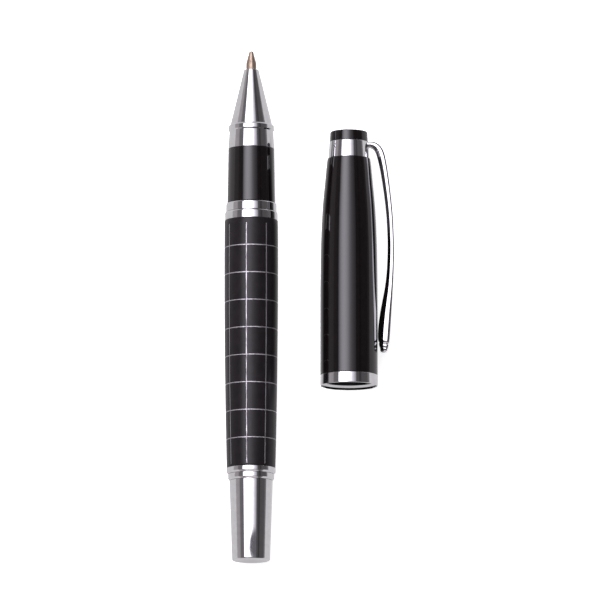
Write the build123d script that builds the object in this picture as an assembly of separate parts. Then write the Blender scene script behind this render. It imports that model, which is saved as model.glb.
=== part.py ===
from build123d import *
import os

# Capped rollerball pen, in millimetres, lying on a table with its cap beside it.
# The pen's axis is the Y axis: the flat tail face is at Y = 0 and the writing tip points to +Y.
# The cap lies parallel to the pen on its +X side, its mouth towards -Y and its clip towards +X.
# An outline is a list of (radius, distance along the axis) points, turned about the Y axis.

# ---- driving dimensions: the pen, measured from the tail face
TAIL_FACE_R = 4.29
TAIL_CONE_END = 18.25
TAIL_CONE_R = 4.88
REAR_RING_R = 5.20
REAR_RING_END = 19.70
FRONT_RING_R = 5.54
STEP_RING_BEVEL_DEPTH = 0.34
STEP_RING_BEVEL_LENGTH = 0.40
BARREL_START = 21.08
BARREL_START_R = 5.50
BARREL_MIDDLE = 46.0
BARREL_MIDDLE_R = 5.95
BARREL_END = 77.6
BARREL_END_R = 6.03
BARREL_RING_R = 5.95
BARREL_RING_END = 79.6
SECTION_RING_R = 5.69
SECTION_RING_END = 81.6
GRIP_START_R = 5.41
GRIP_END = 94.07
GRIP_END_R = 5.19
COLLAR_END = 98.1
COLLAR_END_R = 4.94
BEAD_R = 5.15
CONE_START = 99.6
CONE_START_R = 4.70
NOSE_END = 112.3
NOSE_END_R = 1.66

# ---- engraved grid on the barrel
GRID_RINGS = 8
GRID_FIRST = 27.47
GRID_PITCH = 6.266
GRID_LINES = 8
GRID_LINE_START = 21.55
GRID_LINE_END = 76.4
GRID_TURN = -10.3
GROOVE_WIDTH = 0.30
GROOVE_DEPTH = 0.06

# ---- refill, a 110.7 mm rollerball cartridge of 6 mm diameter
REFILL_R = 3.0
REFILL_BORE_R = 2.6
REFILL_START = 5.95
TUBE_START = 6.35
TUBE_END = 102.9
SHOULDER = 103.5
TIP_R = 1.16
TIP_CONE_START = 113.8
TIP_LIP = 116.45
TIP_LIP_R = 0.45
BALL_R = 0.35
BALL_CENTRE = 116.30
SOCKET_R = 0.37
FOLLOWER_LENGTH = 2.4
FOLLOWER_END = 100.0

# ---- inside the pen
CAVITY_R = 3.1
SPRING_SEAT = 1.5
SPRING_R = 2.70
SPRING_WIRE_R = 0.22
SPRING_TURNS = 5
THREAD_R = 4.70
THREAD_BUSH_R = 4.76
SLEEVE_START = 73.6
BUSH_START = 70.0
BUSH_R = 5.28
O_RING_R = 4.63
O_RING_SECTION_R = 0.38
O_RING_CENTRE = 78.80
GAP = 0.02

# ---- the cap, measured from its mouth
CAP_R = 6.50
LIP_END = 2.47
CAP_TUBE_END = 52.0
CAP_TUBE_END_R = 4.84
CAP_RING_START_R = 4.65
CAP_RING_END = 55.85
CAP_RING_END_R = 4.40
FINIAL_START_R = 4.33
FINIAL_END = 58.2
FINIAL_END_R = 4.22
LIP_BORE_R = 5.75
LINER_R = 5.88
LINER_BORE_R = 5.45
CAP_PLACE = (22.1, 39.75, 0.44)

# ---- the clip
CLIP_WIDTH = 3.8
CLIP_NECK_WIDTH = 3.0
TANG_BOTTOM = 54.65
TANG_TOP = 55.73
TANG_DEPTH_R = 2.5


def turned(outline, rounds=()):
    """Turns a closed outline about the Y axis. rounds lists (corner number, radius)."""
    face = Polygon(*outline, align=None)
    for corner, radius in rounds:
        nearest = face.vertices().sort_by_distance((*outline[corner], 0))[0]
        face = fillet(nearest, radius)
    return revolve(face, Axis.Y)


def turned_edges(*edges):
    """Turns the closed outline made by the edges about the Y axis."""
    return revolve(make_face([edge for part in edges for edge in part.edges()]), Axis.Y)


def ring(start, end, inner_r, outer_r):
    """A plain ring about the Y axis."""
    return turned([(inner_r, start), (outer_r, start), (outer_r, end), (inner_r, end)])


def plug(start, end, radius):
    """A plain solid cylinder about the Y axis."""
    return turned([(0, start), (radius, start), (radius, end), (0, end)])


# ---- the front section


def nose_cone():
    """Collar, catch bead and cone in one turning, with a threaded spigot and a stepped bore."""
    spigot_start, spigot_r = 88.0, 4.30
    neck_r, neck_end = 1.85, 107.3
    mouth_r, mouth_start = 1.25, 109.0
    bead_start, bead_end = COLLAR_END + 0.35, CONE_START - 0.25
    outline = [
        (CAVITY_R, spigot_start),
        (spigot_r, spigot_start),
        (spigot_r, GRIP_END + GAP),
        (GRIP_END_R + 0.03, GRIP_END + GAP),
        (COLLAR_END_R, COLLAR_END),
        (BEAD_R, bead_start),
        (BEAD_R, bead_end),
        (CONE_START_R, CONE_START),
        (NOSE_END_R, NOSE_END),
        (mouth_r, NOSE_END),
        (mouth_r, mouth_start),
        (neck_r, neck_end),
        (neck_r, SHOULDER),
        (CAVITY_R, SHOULDER),
    ]
    return turned(outline, [(5, 0.18), (6, 0.18), (8, 0.12)])


def grip_section():
    """Black lacquered grip, slightly narrower towards the nose."""
    sleeve_bore, spigot_bore, step = 4.62, 4.32, 87.7
    outline = [
        (sleeve_bore, SECTION_RING_END + GAP),
        (GRIP_START_R, SECTION_RING_END + GAP),
        (GRIP_END_R, GRIP_END),
        (spigot_bore, GRIP_END),
        (spigot_bore, step),
        (sleeve_bore, step),
    ]
    return turned(outline, [(1, 0.10), (2, 0.10)])


def section_ring():
    """Polished locating step that the cap's lip slides over."""
    outline = [
        (THREAD_R + GAP, BARREL_RING_END),
        (SECTION_RING_R, BARREL_RING_END),
        (SECTION_RING_R, SECTION_RING_END),
        (THREAD_R + GAP, SECTION_RING_END),
    ]
    return turned(outline, [(1, 0.12), (2, 0.35)])


def section_sleeve():
    """Brass sleeve: the male thread behind the grip, an O-ring groove and the grip's spigot."""
    groove_r, groove_half = 4.20, 0.46
    spigot_r, spigot_end = 4.60, 87.5
    outline = [
        (CAVITY_R, SLEEVE_START),
        (THREAD_R, SLEEVE_START),
        (THREAD_R, O_RING_CENTRE - groove_half),
        (groove_r, O_RING_CENTRE - groove_half),
        (groove_r, O_RING_CENTRE + groove_half),
        (THREAD_R, O_RING_CENTRE + groove_half),
        (THREAD_R, SECTION_RING_END),
        (spigot_r, SECTION_RING_END),
        (spigot_r, spigot_end),
        (CAVITY_R, spigot_end),
    ]
    return turned(outline, [(1, 0.3)])


def thread_o_ring():
    """Rubber ring in the sleeve's groove that stops the barrel working loose."""
    section = Pos(O_RING_R, O_RING_CENTRE) * Circle(O_RING_SECTION_R)
    return revolve(section, Axis.Y)


# ---- the refill


def refill_tube():
    return ring(TUBE_START, TUBE_END, REFILL_BORE_R, REFILL_R)


def refill_end_plug():
    spigot_r, spigot_end, vent_r = REFILL_BORE_R - GAP, 8.0, 0.4
    outline = [
        (vent_r, REFILL_START),
        (REFILL_R, REFILL_START),
        (REFILL_R, TUBE_START),
        (spigot_r, TUBE_START),
        (spigot_r, spigot_end),
        (vent_r, spigot_end),
    ]
    return turned(outline, [(1, 0.15)])


def refill_housing():
    """Stepped moulding that closes the tube, stops on the nose's shoulder and holds the tip."""
    spigot_start, spigot_r = 101.6, REFILL_BORE_R - GAP
    neck_r, neck_end = 1.70, 107.0
    front_r, front_end = 1.22, 108.5
    bore_r, throat_r, throat_end = 1.0, 0.6, 105.0
    outline = [
        (throat_r, spigot_start),
        (spigot_r, spigot_start),
        (spigot_r, TUBE_END),
        (REFILL_R, TUBE_END),
        (REFILL_R, SHOULDER - 0.05),
        (neck_r, SHOULDER - 0.05),
        (neck_r, neck_end),
        (front_r, front_end),
        (bore_r, front_end),
        (bore_r, throat_end),
        (throat_r, throat_end),
    ]
    return turned(outline)


def refill_tip():
    """Nickel silver point: a spigot, a straight shank, a cone and the ball's socket."""
    spigot_start, spigot_end, spigot_r, channel_r = 105.05, 108.52, 0.98, 0.25
    outline = [
        (channel_r, spigot_start),
        (spigot_r, spigot_start),
        (spigot_r, spigot_end),
        (TIP_R, spigot_end),
        (TIP_R, TIP_CONE_START),
        (TIP_LIP_R, TIP_LIP),
        (channel_r, TIP_LIP),
    ]
    return turned(outline, [(4, 0.4)]) - Pos(0, BALL_CENTRE, 0) * Sphere(SOCKET_R)


def roller_ball():
    return Pos(0, BALL_CENTRE, 0) * Sphere(BALL_R)


def ink_follower():
    """Float that follows the ink along the refill's tube."""
    start = FOLLOWER_END - FOLLOWER_LENGTH
    radius, dimple_r, dimple_depth = REFILL_BORE_R - 0.05, 1.2, 0.8
    outline = [
        (0, start),
        (radius, start),
        (radius, FOLLOWER_END),
        (dimple_r, FOLLOWER_END),
        (0, FOLLOWER_END - dimple_depth),
    ]
    return turned(outline)


def refill_spring():
    """Coil spring between the tail's floor and the refill's end plug."""
    clearance = SPRING_WIRE_R + 0.03
    start, end = SPRING_SEAT + clearance, REFILL_START - clearance
    path = Helix(pitch=(end - start) / SPRING_TURNS, height=end - start, radius=SPRING_R)
    section = Plane(origin=path @ 0, z_dir=path % 0) * Circle(SPRING_WIRE_R)
    coil = sweep(section, path=path, is_frenet=True)
    return Pos(0, start, 0) * Rot(-90, 0, 0) * coil


# ---- the barrel


def barrel_outside(inset=0.0):
    """The barrel's swelling outside as one arc, or a copy of it inset by a depth."""
    return ThreePointArc(
        (BARREL_START_R - inset, BARREL_START),
        (BARREL_MIDDLE_R - inset, BARREL_MIDDLE),
        (BARREL_END_R - inset, BARREL_END),
    )


def barrel_skin():
    """The thin shell, one groove deep, that the engraving is cut from."""
    outer_start, outer_end = (7.0, BARREL_START), (7.0, BARREL_END)
    floor = barrel_outside(GROOVE_DEPTH)
    return turned_edges(
        floor, Line(floor @ 1, outer_end), Line(outer_end, outer_start), Line(outer_start, floor @ 0)
    )


def engraved_grid():
    """Rings along the barrel and straight lines round it, one groove deep."""
    rings = [
        ring(centre - GROOVE_WIDTH / 2, centre + GROOVE_WIDTH / 2, 4.8, 7.0)
        for centre in [GRID_FIRST + GRID_PITCH * number for number in range(GRID_RINGS)]
    ]
    length = GRID_LINE_END - GRID_LINE_START
    middle = (GRID_LINE_START + GRID_LINE_END) / 2
    lines = [
        Rot(0, GRID_TURN + 360 / GRID_LINES * number, 0) * Pos(0, middle, 5.9) * Box(GROOVE_WIDTH, length, 2.2)
        for number in range(GRID_LINES)
    ]
    return barrel_skin() & (rings[0] + rings[1:] + lines)


def barrel_tube():
    """Lacquered tube with a wider bore at the front for the threaded bush."""
    rear_bore, front_bore, step = 4.60, BUSH_R + GAP, BUSH_START - GAP
    outside = barrel_outside()
    inside = Polyline(
        outside @ 1,
        (front_bore, BARREL_END),
        (front_bore, step),
        (rear_bore, step),
        (rear_bore, BARREL_START),
        outside @ 0,
    )
    return turned_edges(outside, inside) - engraved_grid()


def barrel_ring():
    """Polished ring at the barrel's mouth, against which the cap's lip stops."""
    start, end = BARREL_END + GAP, BARREL_RING_END - GAP
    bore = BUSH_R + GAP
    outline = [(bore, start), (BARREL_RING_R, start), (BARREL_RING_R, end), (bore, end)]
    return turned(outline, [(1, 0.15), (2, 0.35)])


def barrel_bush():
    """Brass bush with the female thread, and a wider seat for the O-ring."""
    seat_r, seat_start, end = 5.06, 78.1, BARREL_RING_END - 0.3
    outline = [
        (THREAD_BUSH_R, BUSH_START),
        (BUSH_R, BUSH_START),
        (BUSH_R, end),
        (seat_r, end),
        (seat_r, seat_start),
        (THREAD_BUSH_R, seat_start),
    ]
    return turned(outline)


def tail_connector():
    """Brass sleeve that joins the tail cone, the two rings and the barrel tube."""
    start, end, bore = 12.0, 28.0, 3.2
    cone_spigot_r, barrel_spigot_r = 3.90, 4.58
    outline = [
        (bore, start),
        (cone_spigot_r, start),
        (cone_spigot_r, BARREL_START),
        (barrel_spigot_r, BARREL_START),
        (barrel_spigot_r, end),
        (bore, end),
    ]
    return turned(outline)


def tail_ring(start, end, radius):
    """A polished step ring on the tail connector, broadly bevelled towards the tail."""
    bore, rounding = 3.92, 0.12
    outline = [
        (bore, start),
        (radius - STEP_RING_BEVEL_DEPTH, start),
        (radius, start + STEP_RING_BEVEL_LENGTH),
        (radius, end),
        (bore, end),
    ]
    return turned(outline, [(3, rounding)])


def tail_cone():
    """Polished tail, flat at its end, with a blind bore that seats the spring."""
    connector_bore, spring_bore, connector_start = 3.92, 3.2, 11.95
    outline = [
        (0, 0),
        (TAIL_FACE_R, 0),
        (TAIL_CONE_R, TAIL_CONE_END - GAP),
        (connector_bore, TAIL_CONE_END - GAP),
        (connector_bore, connector_start),
        (spring_bore, connector_start),
        (spring_bore, SPRING_SEAT),
        (0, SPRING_SEAT),
    ]
    return turned(outline, [(1, 0.3), (2, 0.2)])


# ---- the cap


def cap_lip_ring():
    """Polished ring round the mouth, with a spigot inside the cap's tube."""
    chamfer, spigot_r, spigot_end = 0.35, 6.10, 4.4
    outline = [
        (LIP_BORE_R + chamfer, 0),
        (CAP_R, 0),
        (CAP_R, LIP_END - GAP),
        (spigot_r, LIP_END - GAP),
        (spigot_r, spigot_end),
        (LIP_BORE_R, spigot_end),
        (LIP_BORE_R, chamfer),
    ]
    return turned(outline, [(1, 0.2), (2, 0.12)])


def cap_tube():
    """Lacquered tube: straight from the lip, then one smooth curve in to the top ring."""
    rabbet_r, rabbet_end = 6.12, 4.42
    bore, bore_end = LINER_R + GAP, 30.0
    waist, waist_end = 5.10, 41.0
    throat, throat_start = 3.62, 46.5
    straight = Line((CAP_R, LIP_END), (CAP_R, 17.0))
    bulge = Spline(
        (CAP_R, 17.0),
        (6.29, 33.5),
        (5.93, 40.9),
        (5.42, 46.4),
        (CAP_TUBE_END_R, CAP_TUBE_END),
        tangents=[(0, 1), (-0.12, 1)],
    )
    inside = Polyline(
        bulge @ 1,
        (throat, CAP_TUBE_END),
        (throat, throat_start),
        (waist, waist_end),
        (bore, bore_end),
        (bore, rabbet_end),
        (rabbet_r, rabbet_end),
        (rabbet_r, LIP_END),
        straight @ 0,
    )
    return turned_edges(straight, bulge, inside)


def cap_liner():
    """Plastic inner cap: a bore for the grip, a snap ridge for the bead and a closed tip well."""
    front_r, front_start, front_end = 5.73, 2.30, 4.42
    back_r, back_start, end = 4.80, 29.5, 39.2
    ridge_r, ridge_start, ridge_end = 5.08, 17.9, 18.4
    well_r, well_start, well_end = 2.0, 33.2, 38.2
    outline = [
        (LINER_BORE_R, front_start),
        (front_r, front_start),
        (front_r, front_end + GAP),
        (LINER_R, front_end + GAP),
        (LINER_R, back_start),
        (back_r, end),
        (0, end),
        (0, well_end),
        (well_r, well_end),
        (well_r, well_start),
        (5.05, 20.4),
        (5.28, 20.1),
        (5.28, ridge_end + 0.4),
        (ridge_r, ridge_end),
        (ridge_r, ridge_start),
        (5.28, ridge_start - 0.6),
        (LINER_BORE_R, 12.5),
    ]
    return turned(outline)


def cap_bush():
    """Threaded brass plug fixed in the cap's top, which the cap screw pulls against."""
    return ring(47.0, CAP_TUBE_END - GAP, 1.25, 3.60)


def cap_screw():
    """Stud that clamps the finial and the top ring down on the bush."""
    return plug(47.6, 57.2, 1.20)


def clip_window():
    """Space in the top ring for the clip's tang, open upwards under the finial."""
    width, bottom, depth_r = CLIP_NECK_WIDTH + 0.2, TANG_BOTTOM - 0.13, TANG_DEPTH_R - 0.2
    length, height = 3.0, CAP_RING_END + 0.5 - bottom
    return Pos(depth_r + length / 2, bottom + height / 2, 0) * Box(length, height, width)


def cap_ring():
    """Polished ring between tube and finial, with the clip's window on its +X side."""
    bore = 1.30
    outline = [
        (bore, CAP_TUBE_END),
        (CAP_RING_START_R, CAP_TUBE_END),
        (CAP_RING_END_R, CAP_RING_END),
        (bore, CAP_RING_END),
    ]
    return turned(outline, [(1, 0.15), (2, 0.10)]) - clip_window()


def cap_finial():
    """Black end button with a blind hole for the stud."""
    hole_r, hole_end = 1.25, 57.3
    outline = [
        (hole_r, CAP_RING_END + GAP),
        (FINIAL_START_R, CAP_RING_END + GAP),
        (FINIAL_END_R, FINIAL_END),
        (0, FINIAL_END),
        (0, hole_end),
        (hole_r, hole_end),
    ]
    return turned(outline, [(1, 0.10), (2, 0.30)])


def clip_side():
    """The clip seen from the side: tang, bent neck, bowed spring and a thick rounded foot."""
    outer = Spline(
        (4.95, TANG_TOP),
        (6.1, 55.55),
        (7.2, 54.7),
        (7.9, 53.4),
        (8.35, 51.6),
        (8.9, 48.2),
        (10.0, 37.2),
        (10.2, 29.9),
        (9.6, 17.1),
        (9.05, 9.8),
    )
    inner = Spline(
        (7.5, 7.7),
        (6.66, 11.0),
        (7.2, 17.1),
        (8.5, 25.0),
        (8.75, 33.6),
        (8.35, 40.9),
        (7.3, 48.2),
        (6.6, 51.8),
        (5.9, 53.7),
        (4.95, TANG_BOTTOM),
    )
    foot = ThreePointArc(outer @ 1, (8.62, 7.95), inner @ 0)
    tang = Polyline(inner @ 1, (TANG_DEPTH_R, TANG_BOTTOM), (TANG_DEPTH_R, TANG_TOP), outer @ 0)
    return make_face([*outer.edges(), *foot.edges(), *inner.edges(), *tang.edges()])


def clip_front():
    """The clip seen from the front: narrow neck, wider waist, round foot."""
    half, neck_half, foot_half, foot_centre = CLIP_WIDTH / 2, CLIP_NECK_WIDTH / 2, 1.55, 9.4
    top = 56.5
    right = Spline(
        (foot_half, foot_centre),
        (half, 33.0),
        (neck_half, 52.0),
        tangents=[(0.02, 1), (0, 1)],
    )
    left = Spline(
        (-neck_half, 52.0),
        (-half, 33.0),
        (-foot_half, foot_centre),
        tangents=[(0, -1), (0.02, -1)],
    )
    head = Polyline(right @ 1, (neck_half, top), (-neck_half, top), left @ 0)
    foot = ThreePointArc(left @ 1, (0, foot_centre - foot_half - 0.4), right @ 0)
    return make_face([*right.edges(), *head.edges(), *left.edges(), *foot.edges()])


def pocket_clip():
    """Spring clip: its side outline trimmed by its front outline."""
    facing_out = Plane(origin=(0, 0, 0), x_dir=(0, 0, -1), z_dir=(1, 0, 0))
    side = Pos(0, 0, -CLIP_WIDTH) * extrude(clip_side(), amount=2 * CLIP_WIDTH, dir=(0, 0, 1))
    front = extrude(facing_out * clip_front(), amount=2 * CAP_R, dir=(1, 0, 0))
    return side & front


NODES = {
    "nose_cone": nose_cone,
    "grip_section": grip_section,
    "section_ring": section_ring,
    "section_sleeve": section_sleeve,
    "thread_o_ring": thread_o_ring,
    "refill_tube": refill_tube,
    "refill_end_plug": refill_end_plug,
    "refill_housing": refill_housing,
    "refill_tip": refill_tip,
    "roller_ball": roller_ball,
    "ink_follower": ink_follower,
    "refill_spring": refill_spring,
    "barrel_tube": barrel_tube,
    "barrel_ring": barrel_ring,
    "barrel_bush": barrel_bush,
    "tail_connector": tail_connector,
    "tail_cone": tail_cone,
}
CAP_NODES = {
    "cap_lip_ring": cap_lip_ring,
    "cap_tube": cap_tube,
    "cap_liner": cap_liner,
    "cap_bush": cap_bush,
    "cap_screw": cap_screw,
    "cap_ring": cap_ring,
    "cap_finial": cap_finial,
    "pocket_clip": pocket_clip,
}

os.makedirs("parts", exist_ok=True)
for name, make in NODES.items():
    export_step(make(), f"parts/{name}.step")
export_step(tail_ring(TAIL_CONE_END, REAR_RING_END, REAR_RING_R), "parts/tail_ring_rear.step")
export_step(tail_ring(REAR_RING_END + GAP, BARREL_START - GAP, FRONT_RING_R), "parts/tail_ring_front.step")
for name, make in CAP_NODES.items():
    export_step(Pos(*CAP_PLACE) * make(), f"parts/{name}.step")
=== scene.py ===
import math

import bmesh
import bpy
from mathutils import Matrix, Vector


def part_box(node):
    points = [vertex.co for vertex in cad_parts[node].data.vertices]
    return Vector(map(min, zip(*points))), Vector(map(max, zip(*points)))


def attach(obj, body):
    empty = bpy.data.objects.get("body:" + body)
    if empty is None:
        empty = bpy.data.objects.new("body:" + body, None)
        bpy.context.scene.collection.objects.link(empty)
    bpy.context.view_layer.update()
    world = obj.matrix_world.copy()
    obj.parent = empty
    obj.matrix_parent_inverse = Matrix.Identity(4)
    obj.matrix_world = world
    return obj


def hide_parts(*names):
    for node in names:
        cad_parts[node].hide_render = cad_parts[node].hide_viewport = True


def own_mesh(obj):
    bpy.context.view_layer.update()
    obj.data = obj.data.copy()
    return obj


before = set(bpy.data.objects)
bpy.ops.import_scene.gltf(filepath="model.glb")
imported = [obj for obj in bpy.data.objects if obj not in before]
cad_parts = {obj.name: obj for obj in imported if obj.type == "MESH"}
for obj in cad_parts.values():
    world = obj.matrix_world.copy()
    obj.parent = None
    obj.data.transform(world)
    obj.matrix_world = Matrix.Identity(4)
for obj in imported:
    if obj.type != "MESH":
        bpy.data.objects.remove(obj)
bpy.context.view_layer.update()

# Outlines are lists of (radius, distance along the axis) in millimetres; everything else is in metres.
MM = 0.001
ON_AXIS = 1e-6
CLEARANCE = 0.02
ROUND_STEPS = 8
SEGMENTS = 160
SHARP_ANGLE = math.radians(28)

# ---- engraved grid on the barrel, millimetres and degrees
GRID_RINGS = 8
GRID_FIRST = 27.47
GRID_PITCH = 6.266
GRID_LINES = 8
GRID_LINE_START = 21.55
GRID_LINE_END = 76.4
GRID_TURN = -10.3
GROOVE_WIDTH = 0.20
GROOVE_DEPTH = 0.06
GROOVE_WALL = 0.05
ENGRAVING_LIFT = 0.004

# ---- barrel, millimetres and degrees
BARREL_EDGE = 0.12
BARREL_BORE, BARREL_FRONT_BORE = 4.60, 5.30
BARREL_LONGEST_STEP, BARREL_WIDEST_TURN = 1.1, 2.6

# ---- thread between front section and barrel, millimetres
THREAD_PITCH = 0.75
THREAD_DEPTH = 0.30
THREAD_RUN_OUT = 0.5
THREAD_STEPS_PER_PITCH = 10
THREAD_SEGMENTS = 96


# ---------------------------------------------------------------- places, read from the frame


def span(node, origin):
    """(start, end, largest radius) of a round node along its axis, in millimetres from the origin."""
    low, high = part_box(node)
    start, end = (low.y - origin.y) / MM, (high.y - origin.y) / MM
    radius = (high.z - low.z) / 2 / MM
    return start, end, radius


def cap_origin():
    """The centre of the cap's mouth."""
    low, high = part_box("cap_lip_ring")
    return Vector(((low.x + high.x) / 2, low.y, (low.z + high.z) / 2))


PEN = Vector((0, 0, 0))
CAP = cap_origin()
FLOOR_Z = min(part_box("barrel_tube")[0].z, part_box("cap_tube")[0].z)


# ---------------------------------------------------------------- geometry helpers


def softened(outline, rounds):
    """The outline with some corners turned into arcs. rounds maps a corner's number to its radius."""
    points = []
    count = len(outline)
    for number, corner in enumerate(outline):
        if number not in rounds:
            points.append(corner)
            continue
        here = Vector(corner)
        before = (Vector(outline[number - 1]) - here).normalized()
        after = (Vector(outline[(number + 1) % count]) - here).normalized()
        half_angle = before.angle(after) / 2
        reach = rounds[number] / math.tan(half_angle)
        centre = here + (before + after).normalized() * rounds[number] / math.sin(half_angle)
        first, last = here + before * reach - centre, here + after * reach - centre
        turn = first.angle(last)
        for step in range(ROUND_STEPS + 1):
            share = step / ROUND_STEPS
            weight_a = math.sin((1 - share) * turn) / math.sin(turn)
            weight_b = math.sin(share * turn) / math.sin(turn)
            points.append(tuple(centre + first * weight_a + last * weight_b))
    return points


def smooth_curve(points, steps):
    """A Catmull-Rom curve through 2D or 3D points, with so many steps between neighbours."""
    padded = [Vector(points[0]) * 2 - Vector(points[1])] + [Vector(p) for p in points]
    padded.append(Vector(points[-1]) * 2 - Vector(points[-2]))
    curve = []
    for a, b, c, d in zip(padded, padded[1:], padded[2:], padded[3:]):
        for step in range(steps):
            t = step / steps
            square, cube = a * 2 - b * 5 + c * 4 - d, b * 3 - a - c * 3 + d
            curve.append((b * 2 + (c - a) * t + square * t * t + cube * t**3) / 2)
    curve.append(Vector(points[-1]))
    return curve


def finish_mesh(name, mesh_data, body, material, node=None):
    """Turns a bmesh into a piece: outward normals, smooth shading with crisp edges, material and ride."""
    bmesh.ops.recalc_face_normals(mesh_data, faces=mesh_data.faces)
    for face in mesh_data.faces:
        face.smooth = True
    for edge in mesh_data.edges:
        if len(edge.link_faces) == 2 and edge.calc_face_angle() > SHARP_ANGLE:
            edge.smooth = False
    mesh = bpy.data.meshes.new(name)
    mesh_data.to_mesh(mesh)
    mesh_data.free()
    piece = bpy.data.objects.new(name, mesh)
    bpy.context.scene.collection.objects.link(piece)
    mesh.materials.append(material)
    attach(piece, body)
    if node:
        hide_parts(node)
    return piece


def around_axis(origin, radius, along, angle):
    """The point at an angle about the Y axis through the origin, from millimetres to metres."""
    x = origin.x + radius * MM * math.sin(angle)
    z = origin.z + radius * MM * math.cos(angle)
    return (x, origin.y + along * MM, z)


def join_rings(mesh_data, rings):
    """Faces between each ring of vertices and the next; all the rings have the same count."""
    for here, there in zip(rings, rings[1:]):
        for number in range(len(here)):
            following = (number + 1) % len(here)
            mesh_data.faces.new((here[number], there[number], there[following], here[following]))


def lathe(outline, origin):
    """A closed outline turned about the Y axis through the origin, as a bmesh in metres."""
    mesh_data = bmesh.new()
    rings = []
    for radius, along in outline:
        count = 1 if radius < ON_AXIS else SEGMENTS
        angles = [2 * math.pi * number / SEGMENTS for number in range(count)]
        rings.append([mesh_data.verts.new(around_axis(origin, radius, along, angle)) for angle in angles])
    for here, there in zip(rings, rings[1:] + rings[:1]):
        if len(here) == 1 and len(there) == 1:
            continue
        for number in range(SEGMENTS):
            following = (number + 1) % SEGMENTS
            corners = [here[number % len(here)], there[number % len(there)]]
            if len(there) > 1:
                corners.append(there[following])
            if len(here) > 1:
                corners.append(here[following])
            mesh_data.faces.new(corners)
    return mesh_data


def turned(node, outline, rounds, origin, body, material):
    """A turned piece that stands for a CAD node of the same place and size."""
    mesh_data = lathe(softened(outline, rounds), origin)
    return finish_mesh(node + "_finished", mesh_data, body, material, node)


def chromed(node, outline, rounds, origin, body):
    """A turned piece in polished chrome."""
    return turned(node, outline, rounds, origin, body, CHROME)


# ---------------------------------------------------------------- materials


class Nodes:
    """A material under construction: its node tree, its shader and short ways to add nodes."""

    def __init__(self, name):
        self.material = bpy.data.materials.new(name)
        self.material.use_nodes = True
        self.tree = self.material.node_tree
        self.shader = self.tree.nodes["Principled BSDF"]
        self.place = self.add("ShaderNodeTexCoord").outputs["Object"]

    def add(self, kind, **settings):
        node = self.tree.nodes.new(kind)
        for name, value in settings.items():
            setattr(node, name, value)
        return node

    def link(self, source, target):
        self.tree.links.new(source, target)

    def set(self, **values):
        for name, value in values.items():
            self.shader.inputs[name.replace("_", " ")].default_value = value

    def noise(self, scale, detail=3.0, stretch=(1, 1, 1)):
        """Noise in the object's own metres; scale counts features per metre."""
        mapping = self.add("ShaderNodeMapping")
        mapping.inputs["Scale"].default_value = stretch
        self.link(self.place, mapping.inputs["Vector"])
        noise = self.add("ShaderNodeTexNoise")
        noise.inputs["Scale"].default_value = scale
        noise.inputs["Detail"].default_value = detail
        self.link(mapping.outputs["Vector"], noise.inputs["Vector"])
        return noise.outputs["Fac"]

    def ranged(self, source, low, high, from_low=0.3, from_high=0.7):
        """The source's usual values spread between low and high."""
        spread = self.add("ShaderNodeMapRange")
        spread.inputs["From Min"].default_value = from_low
        spread.inputs["From Max"].default_value = from_high
        spread.inputs["To Min"].default_value = low
        spread.inputs["To Max"].default_value = high
        self.link(source, spread.inputs["Value"])
        return spread.outputs["Result"]

    def blended(self, factor, colour_a, colour_b):
        """A colour between two, by a factor."""
        mix = self.add("ShaderNodeMix", data_type="RGBA")
        mix.inputs["A"].default_value = (*colour_a, 1)
        mix.inputs["B"].default_value = (*colour_b, 1)
        self.link(factor, mix.inputs["Factor"])
        return mix.outputs["Result"]

    def bump(self, height, strength, distance):
        bump = self.add("ShaderNodeBump")
        bump.inputs["Strength"].default_value = strength
        bump.inputs["Distance"].default_value = distance
        self.link(height, bump.inputs["Height"])
        return bump.outputs["Normal"]


def polished_metal(name, colour, darker, roughness, scratch=0.02):
    """Plated or bare metal: slight tone changes, faint wiping marks and duller patches."""
    n = Nodes(name)
    n.set(Metallic=1.0)
    n.link(n.blended(n.ranged(n.noise(700, 4), 0, 1), colour, darker), n.shader.inputs["Base Color"])
    n.link(n.ranged(n.noise(2600, 6, (1, 0.25, 1)), roughness, roughness * 2.2), n.shader.inputs["Roughness"])
    n.link(n.bump(n.noise(5200, 5, (1, 0.15, 1)), scratch, 0.00002), n.shader.inputs["Normal"])
    return n.material


def gloss_lacquer(name):
    """Black lacquer under a clear coat, with a faint orange peel and fine dust."""
    n = Nodes(name)
    n.set(Metallic=0.0, Specular_IOR_Level=0.0, Coat_Weight=1.0, Coat_Roughness=0.02, Coat_IOR=1.5)
    n.link(
        n.blended(n.ranged(n.noise(900, 5), 0, 1), (0.0038, 0.0028, 0.0030), (0.0062, 0.0046, 0.0050)),
        n.shader.inputs["Base Color"],
    )
    n.link(n.ranged(n.noise(3400, 6), 0.10, 0.20), n.shader.inputs["Roughness"])
    peel = n.bump(n.noise(1500, 2), 0.04, 0.00003)
    n.link(peel, n.shader.inputs["Coat Normal"])
    return n.material


def satin_lacquer(name):
    """Satin black lacquer with a fine sprayed grain."""
    n = Nodes(name)
    n.set(Metallic=0.0, IOR=1.5, Specular_IOR_Level=0.21)
    grain = n.noise(9000, 4)
    n.link(
        n.blended(n.ranged(n.noise(600, 4), 0, 1), (0.0095, 0.0080, 0.0090), (0.0135, 0.0115, 0.0128)),
        n.shader.inputs["Base Color"],
    )
    n.link(n.ranged(grain, 0.27, 0.36), n.shader.inputs["Roughness"])
    n.link(n.bump(grain, 0.12, 0.00003), n.shader.inputs["Normal"])
    return n.material


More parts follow.
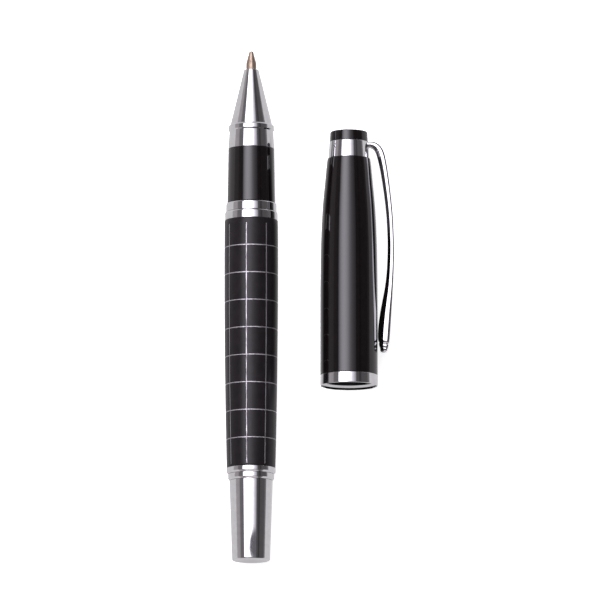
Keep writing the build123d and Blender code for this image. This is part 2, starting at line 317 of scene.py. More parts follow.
def turned_brass(name):
    """Machined brass with fine rings left by the tool."""
    n = Nodes(name)
    n.set(Metallic=1.0)
    wave = n.add("ShaderNodeTexWave", wave_type="BANDS", bands_direction="Y")
    wave.inputs["Scale"].default_value = 900
    wave.inputs["Distortion"].default_value = 1.5
    n.link(n.place, wave.inputs["Vector"])
    n.link(
        n.blended(n.ranged(n.noise(500, 5), 0, 1), (0.76, 0.56, 0.27), (0.62, 0.43, 0.19)),
        n.shader.inputs["Base Color"],
    )
    n.link(n.ranged(n.noise(2500, 4), 0.18, 0.34), n.shader.inputs["Roughness"])
    n.link(n.bump(wave.outputs["Fac"], 0.15, 0.00003), n.shader.inputs["Normal"])
    return n.material


def moulded_plastic(name, colour, other, roughness=0.42, through=0.0):
    """Moulded plastic with soft mottling and a faint skin texture."""
    n = Nodes(name)
    n.set(IOR=1.49, Transmission_Weight=through)
    n.link(n.blended(n.ranged(n.noise(420, 4), 0, 1), colour, other), n.shader.inputs["Base Color"])
    n.link(n.ranged(n.noise(2200, 5), roughness * 0.8, roughness * 1.2), n.shader.inputs["Roughness"])
    n.link(n.bump(n.noise(6000, 3), 0.10, 0.00003), n.shader.inputs["Normal"])
    return n.material


CHROME = polished_metal("polished_chrome", (0.70, 0.70, 0.71), (0.64, 0.64, 0.655), 0.035)
BRIGHT_CUT = polished_metal("bright_engraving", (0.50, 0.485, 0.50), (0.41, 0.40, 0.415), 0.40, 0.06)
GLOSS_BLACK = gloss_lacquer("gloss_black_lacquer")
SATIN_BLACK = satin_lacquer("satin_black_lacquer")
BRASS = turned_brass("turned_brass")
REFILL_STEEL = polished_metal("drawn_steel_tube", (0.62, 0.62, 0.62), (0.54, 0.54, 0.55), 0.22, 0.06)
SPRING_STEEL = polished_metal("spring_wire", (0.55, 0.55, 0.56), (0.46, 0.46, 0.47), 0.18, 0.05)
NICKEL_SILVER = polished_metal("nickel_silver", (0.40, 0.32, 0.25), (0.33, 0.26, 0.20), 0.30, 0.05)
CARBIDE = polished_metal("lapped_ball", (0.42, 0.42, 0.43), (0.36, 0.36, 0.37), 0.08)
REFILL_PLASTIC = moulded_plastic("refill_plastic", (0.78, 0.78, 0.76), (0.70, 0.70, 0.68))
FOLLOWER_PLASTIC = moulded_plastic("follower_plastic", (0.70, 0.74, 0.76), (0.62, 0.66, 0.69), 0.3, 0.3)
LINER_PLASTIC = moulded_plastic("liner_plastic", (0.030, 0.029, 0.030), (0.042, 0.040, 0.042))
SEAL_RUBBER = moulded_plastic("seal_rubber", (0.022, 0.022, 0.022), (0.032, 0.032, 0.032), 0.6)


# ---------------------------------------------------------------- the pen


def tail():
    """Tail cone and its two step rings."""
    face_r, spring_bore, spring_seat = 4.29, 3.2, 1.5
    ring_bore, bevel_depth, bevel_length = 3.92, 0.34, 0.40
    start, end, radius = span("tail_cone", PEN)
    outline = [
        (0, start),
        (face_r, start),
        (radius, end),
        (spring_bore, end),
        (spring_bore, spring_seat),
        (0, spring_seat),
    ]
    chromed("tail_cone", outline, {1: 0.35, 2: 0.12}, PEN, "barrel")
    for node in ("tail_ring_rear", "tail_ring_front"):
        start, end, radius = span(node, PEN)
        outline = [
            (ring_bore, start),
            (radius - bevel_depth, start),
            (radius, start + bevel_length),
            (radius, end),
            (ring_bore, end),
        ]
        chromed(node, outline, {1: 0.06, 2: 0.10, 3: 0.12}, PEN, "barrel")


BARREL_START, BARREL_END, _ = span("barrel_tube", PEN)
RING_CENTRES = [GRID_FIRST + GRID_PITCH * number for number in range(GRID_RINGS)]
LINE_PITCH = 360 / GRID_LINES


def barrel_radius(along):
    """The barrel's outside radius: one arc through its start, its middle and its end."""
    (x1, y1), (x2, y2), (x3, y3) = (BARREL_START, 5.50), (46.0, 5.95), (BARREL_END, 6.03)
    a = (along - x2) * (along - x3) / ((x1 - x2) * (x1 - x3))
    b = (along - x1) * (along - x3) / ((x2 - x1) * (x2 - x3))
    c = (along - x1) * (along - x2) / ((x3 - x1) * (x3 - x2))
    return a * y1 + b * y2 + c * y3


MEAN_RADIUS = barrel_radius((BARREL_START + BARREL_END) / 2)
LINE_HALF_TURN = math.degrees(GROOVE_WIDTH / 2 / MEAN_RADIUS)
LINE_WALL_TURN = math.degrees(GROOVE_WALL / MEAN_RADIUS)


def groove_stops(centre, half_width, wall):
    """Where a groove's profile bends, across its width."""
    return [centre - half_width - wall, centre - half_width, centre + half_width, centre + half_width + wall]


def filled(stops, step):
    """The sorted stops with even ones added between, no further apart than the step."""
    result = []
    for here, there in zip(stops, stops[1:]):
        count = max(1, math.ceil((there - here) / step))
        result += [here + (there - here) * number / count for number in range(count)]
    return result + [stops[-1]]


def barrel_stops():
    """Where the barrel's profile bends along its axis, with even steps between."""
    stops = [BARREL_START, BARREL_START + BARREL_EDGE, GRID_LINE_START - GROOVE_WALL, GRID_LINE_START]
    for centre in RING_CENTRES:
        stops += groove_stops(centre, GROOVE_WIDTH / 2, GROOVE_WALL)
    stops += [GRID_LINE_END, GRID_LINE_END + GROOVE_WALL, BARREL_END - BARREL_EDGE, BARREL_END]
    return filled(sorted(stops), BARREL_LONGEST_STEP)


def barrel_turns():
    """Where its profile bends round the axis, in degrees, with even steps between."""
    stops = []
    for number in range(GRID_LINES):
        stops += groove_stops(GRID_TURN + LINE_PITCH * number, LINE_HALF_TURN, LINE_WALL_TURN)
    return filled(stops + [stops[0] + 360], BARREL_WIDEST_TURN)[:-1]


def engraved(along, turn):
    """True in a ring groove or a lengthwise one."""
    if any(abs(along - centre) < GROOVE_WIDTH / 2 + 1e-6 for centre in RING_CENTRES):
        return True
    if not GRID_LINE_START - 1e-6 < along < GRID_LINE_END + 1e-6:
        return False
    return abs((turn - GRID_TURN + LINE_PITCH / 2) % LINE_PITCH - LINE_PITCH / 2) < LINE_HALF_TURN + 1e-6


def skin_radius(along, turn):
    """The lacquer's radius, less the engraving's depth and the softened rims."""
    cut = GROOVE_DEPTH if engraved(along, turn) else 0
    rim = BARREL_EDGE * 0.5 if along in (BARREL_START, BARREL_END) else 0
    return barrel_radius(along) - cut - rim


def barrel():
    """The lacquered tube with its engraved grid, and the bright metal bared in the grooves."""
    stops, turns = barrel_stops(), barrel_turns()
    angles = [math.radians(turn) for turn in turns]
    bush_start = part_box("barrel_bush")[0].y / MM - CLEARANCE
    bore = (
        (BARREL_FRONT_BORE, BARREL_END),
        (BARREL_FRONT_BORE, bush_start),
        (BARREL_BORE, bush_start),
        (BARREL_BORE, BARREL_START),
    )
    skin = bmesh.new()
    rows = [
        [skin.verts.new(around_axis(PEN, skin_radius(s, t), s, math.radians(t))) for t in turns]
        for s in stops
    ]
    rows += [[skin.verts.new(around_axis(PEN, r, s, angle)) for angle in angles] for r, s in bore]
    join_rings(skin, rows + rows[:1])
    finish_mesh("barrel_lacquer", skin, "barrel", SATIN_BLACK, "barrel_tube")

    bright = bmesh.new()
    made = {}

    def vertex(row, column):
        if (row, column) not in made:
            radius = barrel_radius(stops[row]) - GROOVE_DEPTH + ENGRAVING_LIFT
            made[row, column] = bright.verts.new(around_axis(PEN, radius, stops[row], angles[column]))
        return made[row, column]

    for row in range(len(stops) - 1):
        s_middle = (stops[row] + stops[row + 1]) / 2
        for column in range(len(turns)):
            following = (column + 1) % len(turns)
            t_next = turns[following] + (360 if following == 0 else 0)
            if engraved(s_middle, (turns[column] + t_next) / 2):
                corners = ((row, column), (row + 1, column), (row + 1, following), (row, following))
                bright.faces.new([vertex(*corner) for corner in corners])
    finish_mesh("barrel_engraving", bright, "barrel", BRIGHT_CUT, None)


def centre_rings():
    """The barrel's mouth ring and the front section's smaller locating ring."""
    barrel_ring_bore, section_ring_bore = 5.3, 4.72
    start, end, radius = span("barrel_ring", PEN)
    outline = [(barrel_ring_bore, start), (radius, start), (radius, end), (barrel_ring_bore, end)]
    chromed("barrel_ring", outline, {1: 0.12, 2: 0.38}, PEN, "barrel")
    start, end, radius = span("section_ring", PEN)
    outline = [(section_ring_bore, start), (radius, start), (radius, end), (section_ring_bore, end)]
    chromed("section_ring", outline, {1: 0.10, 2: 0.35}, PEN, "front_section")


def grip():
    """Gloss black grip section, slightly tapered, with a bore that tapers too."""
    rear_bore, front_bore, front_r = 4.62, 4.32, 5.19
    start, end, radius = span("grip_section", PEN)
    outline = [(rear_bore, start), (radius, start), (front_r, end), (front_bore, end)]
    turned("grip_section", outline, {1: 0.10, 2: 0.12}, PEN, "front_section", GLOSS_BLACK)


def nose():
    """Polished collar, bead and cone in one turning."""
    start, end, _ = span("nose_cone", PEN)
    collar_start = span("grip_section", PEN)[1] + CLEARANCE
    spigot = [(3.1, start), (4.3, start), (4.3, collar_start)]
    collar_and_bead = [(5.22, collar_start), (4.94, 98.1), (5.15, 98.40), (5.15, 99.32)]
    cone = [(4.72, 99.62), (1.66, end)]
    refill_bore = [(1.25, end), (1.25, 109.0), (1.85, 107.3), (1.85, 103.5), (3.1, 103.5)]
    rounds = {3: 0.10, 4: 0.10, 5: 0.20, 6: 0.20, 7: 0.10, 8: 0.13}
    chromed("nose_cone", spigot + collar_and_bead + cone + refill_bore, rounds, PEN, "front_section")


def point_and_ball():
    """The refill's nickel silver tip and its ball."""
    start, end, radius = span("refill_tip", PEN)
    spigot = [(0.25, start), (0.98, start), (0.98, 108.52)]
    shank_and_cone = [(radius, 108.52), (radius, 113.8), (0.45, end)]
    ball_socket = [(0.333, end), (0.365, 116.30), (0.318, 116.12), (0.25, 116.034)]
    outline = spigot + shank_and_cone + ball_socket
    turned("refill_tip", outline, {4: 0.5, 5: 0.05}, PEN, "refill", NICKEL_SILVER)
    low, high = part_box("roller_ball")
    ball = bmesh.new()
    bmesh.ops.create_uvsphere(ball, u_segments=48, v_segments=32, radius=(high.y - low.y) / 2)
    bmesh.ops.translate(ball, verts=ball.verts, vec=(low + high) / 2)
    finish_mesh("roller_ball_finished", ball, "ball", CARBIDE, "roller_ball")


def threaded(node, outline, thread_from, thread_to, body, outward):
    """A turned brass piece whose thread stretch carries a real helix of ridges."""
    step = THREAD_PITCH / THREAD_STEPS_PER_PITCH
    mesh_data = bmesh.new()
    dense = []
    for (r1, s1), (r2, s2) in zip(outline, outline[1:] + outline[:1]):
        on_thread = r1 == r2 and min(s1, s2) >= thread_from - 1e-6 and max(s1, s2) <= thread_to + 1e-6
        count = math.ceil(abs(s2 - s1) / step) if on_thread and abs(s2 - s1) > THREAD_PITCH else 1
        dense += [(r1, s1 + (s2 - s1) * number / count, count > 1) for number in range(count)]
    rings = []
    for radius, along, ridged in dense:
        run_in = min(1, (along - thread_from) / THREAD_RUN_OUT, (thread_to - along) / THREAD_RUN_OUT)
        rings.append([])
        for number in range(THREAD_SEGMENTS):
            share = number / THREAD_SEGMENTS
            phase = (along / THREAD_PITCH - share) % 1
            depth = THREAD_DEPTH * abs(phase - 0.5) * 2 * max(run_in, 0) if ridged else 0
            point = around_axis(PEN, radius - outward * depth, along, 2 * math.pi * share)
            rings[-1].append(mesh_data.verts.new(point))
    join_rings(mesh_data, rings + rings[:1])
    return finish_mesh(node + "_finished", mesh_data, body, BRASS, node)


def thread_pieces():
    """The front section's male thread and the barrel's female one."""
    start, _, radius = span("section_sleeve", PEN)
    sleeve = [
        (3.1, start),
        (radius, start),
        (radius, 78.3),
        (4.2, 78.34),
        (4.2, 79.26),
        (radius, 79.26),
        (radius, 81.6),
        (4.6, 81.6),
        (4.6, 87.5),
        (3.1, 87.5),
    ]
    threaded("section_sleeve", sleeve, start, 78.34, "front_section", 1)
    start, end, radius = span("barrel_bush", PEN)
    bush = [(4.76, start), (radius, start), (radius, end), (5.06, end), (5.06, 78.1), (4.76, 78.08)]
    threaded("barrel_bush", bush, start, 78.09, "barrel", -1)


def coil_spring():
    """The refill's spring, a coil of round wire at its rest length."""
    wire_r, turns, around, along_steps = 0.22 * MM, 5, 12, 240
    low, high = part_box("refill_spring")
    mean_r = (high.z - low.z) / 2 - wire_r
    start, end = low.y + wire_r, high.y - wire_r
    rings = []
    mesh_data = bmesh.new()
    for step in range(along_steps + 1):
        share = step / along_steps
        angle = 2 * math.pi * turns * share
        centre = Vector((mean_r * math.sin(angle), start + (end - start) * share, mean_r * math.cos(angle)))
        outward = Vector((math.sin(angle), 0, math.cos(angle)))
        rings.append([])
        for number in range(around):
            a = 2 * math.pi * number / around
            offset = outward * math.cos(a) + Vector((0, 1, 0)) * math.sin(a)
            rings[-1].append(mesh_data.verts.new(centre + offset * wire_r))
    join_rings(mesh_data, rings)
    mesh_data.faces.new(rings[0])
    mesh_data.faces.new(rings[-1])
    name, node = "refill_spring_coil", "refill_spring"
    spring = finish_mesh(name, mesh_data, "barrel", SPRING_STEEL, node)
    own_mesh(spring)


# ---------------------------------------------------------------- the cap


def cap_shell():
    """Lip ring with a stepped mouth, lacquered tube, finial and top ring."""
    _, end, radius = span("cap_lip_ring", CAP)
    lip_end = span("cap_tube", CAP)[0] - CLEARANCE
    mouth_r, spigot_r, bore = 6.30, 6.1, 5.75
    outline = [
        (mouth_r, 0),
        (radius, 0),
        (radius, lip_end),
        (spigot_r, lip_end),
        (spigot_r, end),
        (bore, end),
        (bore, 0.95),
        (mouth_r, 0.50),
    ]
    chromed("cap_lip_ring", outline, {1: 0.17, 2: 0.12}, CAP, "cap")

    start, end, radius = span("cap_tube", CAP)
    bulge = [(radius, 17.0), (6.455, 24.0), (6.29, 33.5), (5.93, 40.9), (5.42, 46.4), (5.07, 50.1)]
    side = [tuple(p) for p in smooth_curve(bulge + [(4.84, end)], 8)]
    inside = [(3.62, end), (3.62, 46.5), (5.1, 41.0), (5.9, 30.0), (5.9, 4.42), (6.12, 4.42)]
    outline = [(6.12, start), (radius, start)] + side + inside
    turned("cap_tube", outline, {1: 0.10, 1 + len(side): 0.08}, CAP, "cap", GLOSS_BLACK)

    start, end, radius = span("cap_finial", CAP)
    outline = [(1.25, start), (radius, start), (4.22, end), (0, end), (0, 57.3), (1.25, 57.3)]
    turned("cap_finial", outline, {1: 0.10, 2: 0.32}, CAP, "cap", GLOSS_BLACK)

    start, end, radius = span("cap_ring", CAP)
    outline = [(1.3, start), (radius, start), (4.40, end), (1.3, end)]
    cut_window(chromed("cap_ring", outline, {1: 0.15, 2: 0.10}, CAP, "cap"))


def cut_window(ring):
    """Opens the clip's window in the top ring's +X side."""
    tang_depth, inset = 1.21 * MM, 0.2 * MM
    size = Vector((3.0 * MM, 2.0 * MM, 3.2 * MM))
    low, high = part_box("pocket_clip")
    centre = Vector((low.x - inset + size.x / 2, high.y - tang_depth + size.y / 2, CAP.z))
    window = bmesh.new()
    bmesh.ops.create_cube(window, size=1)
    for vertex in window.verts:
        vertex.co = Vector((vertex.co.x * size.x, vertex.co.y * size.y, vertex.co.z * size.z)) + centre
    mesh = bpy.data.meshes.new("clip_window")
    window.to_mesh(mesh)
    window.free()
    cutter = bpy.data.objects.new("clip_window", mesh)
    bpy.context.scene.collection.objects.link(cutter)
    modifier = ring.modifiers.new("window", "BOOLEAN")
    modifier.operation, modifier.object, modifier.solver = "DIFFERENCE", cutter, "EXACT"
    bpy.context.view_layer.update()
    evaluated = ring.evaluated_get(bpy.context.evaluated_depsgraph_get())
    ring.data = bpy.data.meshes.new_from_object(evaluated)
    ring.modifiers.clear()
    bpy.data.objects.remove(cutter)


# The clip's outer and inner edges seen from the side, as (distance from the cap's axis, from its mouth).
CLIP_OUTER = [
    (4.95, 55.73), (6.1, 55.55), (7.2, 54.7), (7.9, 53.4), (8.35, 51.6), (8.9, 48.2), (9.55, 42.7),
    (10.0, 37.2), (10.2, 29.9), (9.95, 23.0), (9.6, 17.1), (9.3, 12.5), (9.05, 9.8), (8.62, 8.2),
]
CLIP_INNER = [
    (4.95, 54.65), (5.6, 54.2), (6.1, 53.35), (6.45, 52.2), (6.75, 51.0), (7.3, 48.2), (8.1, 42.7),
    (8.6, 37.2), (8.75, 31.0), (8.35, 24.0), (7.15, 17.1), (6.62, 13.2), (6.60, 10.3), (7.1, 8.5),
]
# Half its width at the same stations, seen from the front.
CLIP_HALF_WIDTH = [1.5, 1.5, 1.5, 1.52, 1.56, 1.66, 1.8, 1.88, 1.9, 1.82, 1.72, 1.65, 1.58, 1.3]
CLIP_STEPS = 14
# The straight tang inside the cap's top ring, as (outer, inner, half width).
CLIP_TANG = [((2.52, 55.73), (2.52, 54.65), 1.5), ((4.0, 55.73), (4.0, 54.65), 1.5)]
# The long edges: a broad bevel towards the cap and a narrow one outside, as shares of the clip's
# thickness and slopes, so they catch the same light all along.
INNER_BEVEL_SHARE, INNER_BEVEL_SLOPE = 0.47, 0.73
OUTER_BEVEL_SHARE, OUTER_BEVEL_SLOPE = 0.20, 0.66
# The groove that sets off the bead at the foot: distance from the cap's mouth, width and depth.
BEAD_GROOVE, BEAD_GROOVE_WIDTH, BEAD_GROOVE_DEPTH = 9.75, 0.26, 0.22
# The rounded foot: its length, and how far along it each closing section lies.
FOOT_LENGTH = 0.75
FOOT_HEADING = Vector((-0.35, -1)).normalized()
FOOT_SHARES = (0.35, 0.65, 0.85, 0.96)
THINNEST = 0.02


def clip_section(reach, half_width):
    """One section of the clip as (across, out) points, across from -reach by the cap to +reach."""
    inner, outer = 2 * reach * INNER_BEVEL_SHARE, 2 * reach * OUTER_BEVEL_SHARE
    inner_drop = min(inner * INNER_BEVEL_SLOPE, half_width * 0.6)
    outer_drop = min(outer * OUTER_BEVEL_SLOPE, half_width * 0.3)
    face = [
        (-reach, half_width - inner_drop),
        (-reach + inner * 0.5, half_width - inner_drop * 0.5),
        (-reach + inner, half_width),
        (reach - outer, half_width),
        (reach, half_width - outer_drop),
    ]
    return face + [(across, -out) for across, out in reversed(face)]


def near_groove(stations):
    """The stations, with more of them round the bead's groove."""
    result = []
    for here, there in zip(stations, stations[1:]):
        close = abs((here[0].y + here[1].y) / 2 - BEAD_GROOVE) < 0.6
        count = 4 if close else 1
        for number in range(count):
            share = number / count
            result.append(tuple(p + (q - p) * share for p, q in zip(here, there)))
    return result + [stations[-1]]


def pocket_clip():
    """Spring clip lofted through bevelled sections, from its tang to its foot."""
    outer = smooth_curve(CLIP_OUTER, CLIP_STEPS)
    inner = smooth_curve(CLIP_INNER, CLIP_STEPS)
    halves = [p[0] for p in smooth_curve([(w, 0) for w in CLIP_HALF_WIDTH], CLIP_STEPS)]
    stations = [(Vector(a), Vector(b), w) for a, b, w in CLIP_TANG] + list(zip(outer, inner, halves))
    # close the foot with a few shrinking sections, like a rounded end
    a, b, w = stations[-1]
    for share in FOOT_SHARES:
        shrink = math.sqrt(1 - share * share)
        middle = (a + b) / 2 + FOOT_HEADING * FOOT_LENGTH * share
        stations.append((middle + (a - b) / 2 * shrink, middle - (a - b) / 2 * shrink, w * shrink))
    mesh_data = bmesh.new()
    rings = []
    for a, b, w in near_groove(stations):
        middle, reach = (a + b) / 2, (a - b).length / 2
        groove = BEAD_GROOVE_DEPTH * math.exp(-(((middle.y - BEAD_GROOVE) / BEAD_GROOVE_WIDTH) ** 2))
        rings.append([])
        for across, out in clip_section(max(reach - groove, THINNEST), max(w - groove, THINNEST)):
            side = middle + (a - b).normalized() * across
            point = (CAP.x + side.x * MM, CAP.y + side.y * MM, CAP.z + out * MM)
            rings[-1].append(mesh_data.verts.new(point))
    join_rings(mesh_data, rings)
    mesh_data.faces.new(rings[0])
    mesh_data.faces.new(rings[-1])
    finish_mesh("pocket_clip_finished", mesh_data, "clip", CHROME, "pocket_clip")


def carried_over():
    """CAD nodes whose own shape is right get their materials."""
    materials = {
        "refill_tube": REFILL_STEEL,
        "refill_end_plug": REFILL_PLASTIC,
        "refill_housing": REFILL_PLASTIC,
        "ink_follower": FOLLOWER_PLASTIC,
        "thread_o_ring": SEAL_RUBBER,
        "tail_connector": BRASS,
        "cap_bush": BRASS,
        "cap_screw": BRASS,
        "cap_liner": LINER_PLASTIC,
    }
    for name, material in materials.items():
        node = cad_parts[name]
        node.data.materials.clear()
        node.data.materials.append(material)


# ---------------------------------------------------------------- floor, light and camera


# What a reflection sees round the pen, as (degrees from straight up, brightness); minus is to the left.
STUDIO_WALLS = [
    (-90, 0.44), (-67, 0.38), (-62, 0.19), (-42, 0.165), (24, 0.10),
    (40, 0.095), (43, 0.050), (48, 0.055), (52, 0.10), (78, 0.11), (84, 0.22), (90, 0.25),
]
# The softbox across its width: hard left edge, brightest left of the middle, fading to the right.
SOFTBOX_LEFT, SOFTBOX_RIGHT = -41.5, 31.0
SOFTBOX_PROFILE = [
    (-41.5, 0.9), (-33.7, 3.5), (-25.4, 5.4), (-17.3, 6.0), (-9.2, 5.4),
    (0, 3.8), (6.9, 2.2), (14.9, 1.2), (23.1, 0.70), (31.0, 0.30),
]
SOFTBOX_HEIGHT = 0.42
SOFTBOX_NEAR, SOFTBOX_FAR = -0.05, 0.80
SOFTBOX_COLOUR = (1.0, 0.955, 1.06, 1)
# A dark oval in the softbox's light: its centre, half sizes and turn, its brightness, and where its
# soft edge starts and ends as shares of its size.
FLAG_CENTRE = (0.233, 0.006)
FLAG_HALF_SIZE = (0.39, 0.025)
FLAG_TURN = math.atan(0.010)
FLAG_LEVEL = 0.17
FLAG_EDGE = (1.10, 0.66)
# The near end of the room is open and pale: where it starts and is full, as the view's Y, and its level.
WALL_COLOUR = (1.03, 0.955, 1.0, 1)
NEAR_END_START, NEAR_END_FULL, NEAR_END_LEVEL = -0.90, -0.945, 0.86
# The table: white to the camera, and this bright in reflections away from the pen.
FLOOR_REACH = 4.0
FLOOR_PAINT, FLOOR_ROUGHNESS, FLOOR_GLOW = (0.8, 0.8, 0.8, 1), 0.9, 0.80
FLOOR_REFLECTED, FLOOR_REFLECTED_COLOUR = 0.76, (1.0, 0.975, 1.0, 1)
CONTACT_SHADE_DISTANCE = 0.005
# The camera, nearly overhead and tipped towards the tail, through a very long lens.
CAMERA_ELEVATION = math.radians(81.1)
CAMERA_DISTANCE = 2.715
CAMERA_FRAME_WIDTH = 0.1357
CAMERA_SENSOR_WIDTH = 36
CAMERA_TARGET = Vector((0.01104, 0.0595, 0))


def scaled(tree, value, factor):
    """A socket's value times a fixed number."""
    multiply = tree.nodes.new("ShaderNodeMath")
    multiply.operation = "MULTIPLY"
    multiply.inputs[1].default_value = factor
    tree.links.new(value, multiply.inputs[0])
    return multiply.outputs["Value"]


def profiled(tree, across, up, profile):
    """A brightness looked up by the angle from straight up, from a profile of (degrees, brightness)."""
    first, last = profile[0][0], profile[-1][0]
    peak = max(level for _, level in profile)
    angle = tree.nodes.new("ShaderNodeMath")
    angle.operation = "ARCTAN2"
    tree.links.new(across, angle.inputs[0])
    if isinstance(up, float):
        angle.inputs[1].default_value = up
    else:
        tree.links.new(up, angle.inputs[1])
    spread = tree.nodes.new("ShaderNodeMapRange")
    spread.inputs["From Min"].default_value = math.radians(first)
    spread.inputs["From Max"].default_value = math.radians(last)
    tree.links.new(angle.outputs["Value"], spread.inputs["Value"])
    lookup = tree.nodes.new("ShaderNodeValToRGB")
    ramp = lookup.color_ramp
    for number, (degrees, level) in enumerate(profile):
        place = (degrees - first) / (last - first)
        stop = ramp.elements[number] if number < 2 else ramp.elements.new(place)
        stop.position = place
        stop.color = (level / peak, level / peak, level / peak, 1)
    tree.links.new(spread.outputs["Result"], lookup.inputs["Fac"])
    return scaled(tree, lookup.outputs["Color"], peak)


def fade(tree, value, start, end):
    """0 before start and 1 after end, eased between them."""
    spread = tree.nodes.new("ShaderNodeMapRange")
    spread.interpolation_type = "SMOOTHSTEP"
    spread.inputs["From Min"].default_value = start
    spread.inputs["From Max"].default_value = end
    tree.links.new(value, spread.inputs["Value"])
    return spread.outputs["Result"]


def camera_sees(tree, direct, otherwise, surface):
    """One shader for the camera's own view and another for every other ray."""
    mix = tree.nodes.new("ShaderNodeMixShader")
    path = tree.nodes.new("ShaderNodeLightPath")
    tree.links.new(path.outputs["Is Camera Ray"], mix.inputs["Fac"])
    tree.links.new(otherwise, mix.inputs[1])
    tree.links.new(direct, mix.inputs[2])
    tree.links.new(mix.outputs["Shader"], surface)


def flat_sheet(name, corners, material_name):
    """A four-cornered sheet, and the node tree of its new material."""
    mesh = bpy.data.meshes.new(name)
    mesh.from_pydata(corners, [], [(0, 1, 2, 3)])
    sheet = bpy.data.objects.new(name, mesh)
    bpy.context.scene.collection.objects.link(sheet)
    material = bpy.data.materials.new(material_name)
    material.use_nodes = True
    mesh.materials.append(material)
    return sheet, material.node_tree


def soft_light():
    """One large overhead sheet that the camera doesn't see, dimmed by a soft-edged dark oval."""
    left = math.tan(math.radians(SOFTBOX_LEFT)) * SOFTBOX_HEIGHT
    right = math.tan(math.radians(SOFTBOX_RIGHT)) * SOFTBOX_HEIGHT
    corners = [
        (left, SOFTBOX_NEAR, SOFTBOX_HEIGHT),
        (left, SOFTBOX_FAR, SOFTBOX_HEIGHT),
        (right, SOFTBOX_FAR, SOFTBOX_HEIGHT),
        (right, SOFTBOX_NEAR, SOFTBOX_HEIGHT),
    ]
    sheet, tree = flat_sheet("overhead_softbox", corners, "overhead_softbox")
    tree.nodes.clear()
    output = tree.nodes.new("ShaderNodeOutputMaterial")
    emission = tree.nodes.new("ShaderNodeEmission")
    emission.inputs["Color"].default_value = SOFTBOX_COLOUR
    split = tree.nodes.new("ShaderNodeSeparateXYZ")
    place = tree.nodes.new("ShaderNodeTexCoord").outputs["Object"]
    tree.links.new(place, split.inputs["Vector"])
    strength = profiled(tree, split.outputs["X"], SOFTBOX_HEIGHT, SOFTBOX_PROFILE)
    oval = tree.nodes.new("ShaderNodeMapping")
    oval.vector_type = "TEXTURE"
    oval.inputs["Location"].default_value = (*FLAG_CENTRE, SOFTBOX_HEIGHT)
    oval.inputs["Rotation"].default_value = (0, 0, FLAG_TURN)
    oval.inputs["Scale"].default_value = (*FLAG_HALF_SIZE, 1)
    tree.links.new(place, oval.inputs["Vector"])
    reach = tree.nodes.new("ShaderNodeVectorMath")
    reach.operation = "LENGTH"
    tree.links.new(oval.outputs["Vector"], reach.inputs[0])
    flagged = tree.nodes.new("ShaderNodeMix")
    tree.links.new(fade(tree, reach.outputs["Value"], *FLAG_EDGE), flagged.inputs["Factor"])
    tree.links.new(strength, flagged.inputs["A"])
    flagged.inputs["B"].default_value = FLAG_LEVEL
    tree.links.new(flagged.outputs["Result"], emission.inputs["Strength"])
    tree.links.new(emission.outputs["Emission"], output.inputs["Surface"])
    sheet.visible_camera = False


def surroundings():
    """Dim walls for reflections and light, and white for the camera."""
    world = bpy.data.worlds.new("studio")
    bpy.context.scene.world = world
    world.use_nodes = True
    tree = world.node_tree
    background = tree.nodes["Background"]
    background.inputs["Color"].default_value = WALL_COLOUR
    split = tree.nodes.new("ShaderNodeSeparateXYZ")
    tree.links.new(tree.nodes.new("ShaderNodeTexCoord").outputs["Generated"], split.inputs["Vector"])
    walls = profiled(tree, split.outputs["X"], split.outputs["Z"], STUDIO_WALLS)
    near_end = tree.nodes.new("ShaderNodeMapRange")
    near_end.inputs["From Min"].default_value = NEAR_END_START
    near_end.inputs["From Max"].default_value = NEAR_END_FULL
    tree.links.new(split.outputs["Y"], near_end.inputs["Value"])
    level = tree.nodes.new("ShaderNodeMix")
    level.inputs["B"].default_value = NEAR_END_LEVEL
    tree.links.new(near_end.outputs["Result"], level.inputs["Factor"])
    tree.links.new(walls, level.inputs["A"])
    tree.links.new(level.outputs["Result"], background.inputs["Strength"])
    white = tree.nodes.new("ShaderNodeBackground")
    white.inputs["Color"].default_value = (1, 1, 1, 1)
    surface = tree.nodes["World Output"].inputs["Surface"]
    camera_sees(tree, white.outputs["Background"], background.outputs["Background"], surface)


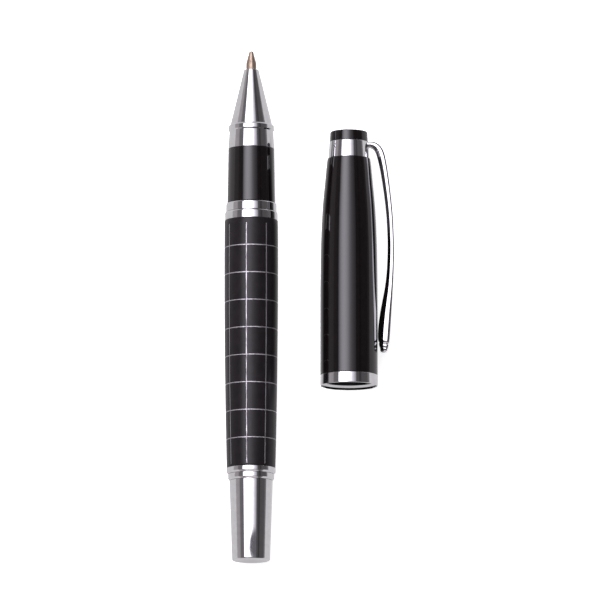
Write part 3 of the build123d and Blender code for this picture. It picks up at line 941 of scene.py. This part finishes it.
def floor():
    """A plain white table top: white to the camera, a little darker in reflections, with a painted contact
    shadow in reflections close to the pen.
    """
    signs = ((-1, -1), (1, -1), (1, 1), (-1, 1))
    corners = [(FLOOR_REACH * x, FLOOR_REACH * y, FLOOR_Z) for x, y in signs]
    sheet, tree = flat_sheet("floor", corners, "white_table")
    shader = tree.nodes["Principled BSDF"]
    shader.inputs["Base Color"].default_value = FLOOR_PAINT
    shader.inputs["Roughness"].default_value = FLOOR_ROUGHNESS
    glow = tree.nodes.new("ShaderNodeEmission")
    glow.inputs["Strength"].default_value = FLOOR_GLOW
    seen = tree.nodes.new("ShaderNodeAddShader")
    tree.links.new(shader.outputs["BSDF"], seen.inputs[0])
    tree.links.new(glow.outputs["Emission"], seen.inputs[1])
    reflected = tree.nodes.new("ShaderNodeEmission")
    reflected.inputs["Color"].default_value = FLOOR_REFLECTED_COLOUR
    # Painted contact shadow: in reflections the floor's glow is dimmed by ambient occlusion close to the pen.
    shade = tree.nodes.new("ShaderNodeAmbientOcclusion")
    shade.inputs["Distance"].default_value = CONTACT_SHADE_DISTANCE
    tree.links.new(scaled(tree, shade.outputs["AO"], FLOOR_REFLECTED), reflected.inputs["Strength"])
    surface = tree.nodes["Material Output"].inputs["Surface"]
    camera_sees(tree, seen.outputs["Shader"], reflected.outputs["Emission"], surface)


def camera():
    """The camera at the view's angle."""
    back = Vector((0, -math.cos(CAMERA_ELEVATION), math.sin(CAMERA_ELEVATION)))
    data = bpy.data.cameras.new("camera")
    data.sensor_width = CAMERA_SENSOR_WIDTH
    data.lens = data.sensor_width * CAMERA_DISTANCE / CAMERA_FRAME_WIDTH
    data.clip_start, data.clip_end = 0.1, 20
    camera_object = bpy.data.objects.new("camera", data)
    bpy.context.scene.collection.objects.link(camera_object)
    camera_object.location = CAMERA_TARGET + back * CAMERA_DISTANCE
    camera_object.rotation_mode = "QUATERNION"
    camera_object.rotation_quaternion = (-back).to_track_quat("-Z", "Y")
    bpy.context.scene.camera = camera_object
    bpy.context.scene.view_settings.view_transform = "Standard"


tail()
barrel()
centre_rings()
grip()
nose()
point_and_ball()
thread_pieces()
coil_spring()
cap_shell()
pocket_clip()
carried_over()
soft_light()
surroundings()
floor()
camera()

bpy.context.view_layer.update()
